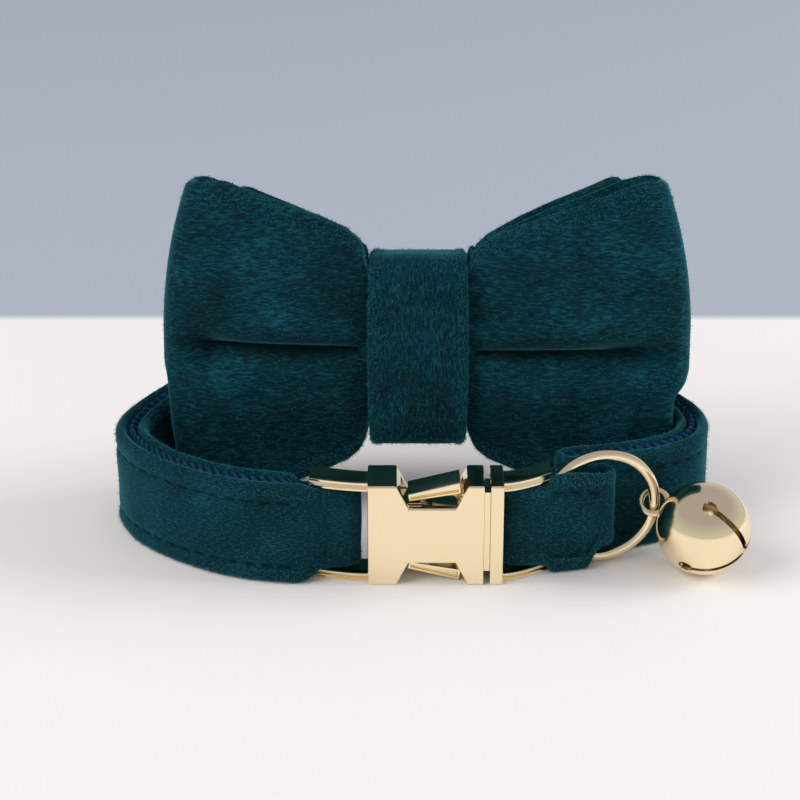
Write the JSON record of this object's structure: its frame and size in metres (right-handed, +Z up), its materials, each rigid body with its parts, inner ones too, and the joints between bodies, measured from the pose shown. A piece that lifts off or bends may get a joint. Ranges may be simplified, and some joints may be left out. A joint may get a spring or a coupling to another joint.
{
  "type": "pet bow tie collar",
  "caption": "Velvet pet collar standing in its own loop, with a side release buckle, a ring that carries a slotted jingle bell, and a pinched bow held to the back run by an elastic loop.",
  "frame": {"origin": "middle of the part's footprint, in the plane that it stands on", "axes": "+Z up, -Y towards the buckle's face, +X towards the bell"},
  "size_m": [0.1008, 0.0482, 0.0555],
  "materials": {
    "velvet": "deep teal short pile velvet",
    "webbing": "navy woven tape",
    "elastic": "dark teal woven elastic",
    "gold_plating": "polished pale gold plating"
  },
  "bodies": {
    "collar": {"strap_cover": "velvet", "strap_webbing": "webbing", "ring_tab": "velvet", "buckle_body": "gold_plating", "buckle_tail": "gold_plating", "ring": "gold_plating", "bell": "gold_plating", "bow_loop": "velvet", "bow_back_ply": "velvet", "bow_knot": "velvet", "elastic_loop": "elastic"},
    "top_lever": {"release_lever_top": "gold_plating"},
    "bottom_lever": {"release_lever_bottom": "gold_plating"}
  },
  "joints": [
    {"name": "top_lever_press", "type": "hinge", "parent": "collar", "child": "top_lever", "pos_m": [-0.00252, -0.01775, 0.01441], "axis": [0, 1, 0], "range_deg": [0, 12], "stiffness_Nm_per_rad": 0.1},
    {"name": "bottom_lever_press", "type": "hinge", "parent": "collar", "child": "bottom_lever", "pos_m": [-0.00252, -0.01775, 0.00261], "axis": [0, -1, 0], "range_deg": [0, 12], "stiffness_Nm_per_rad": 0.1}
  ]
}
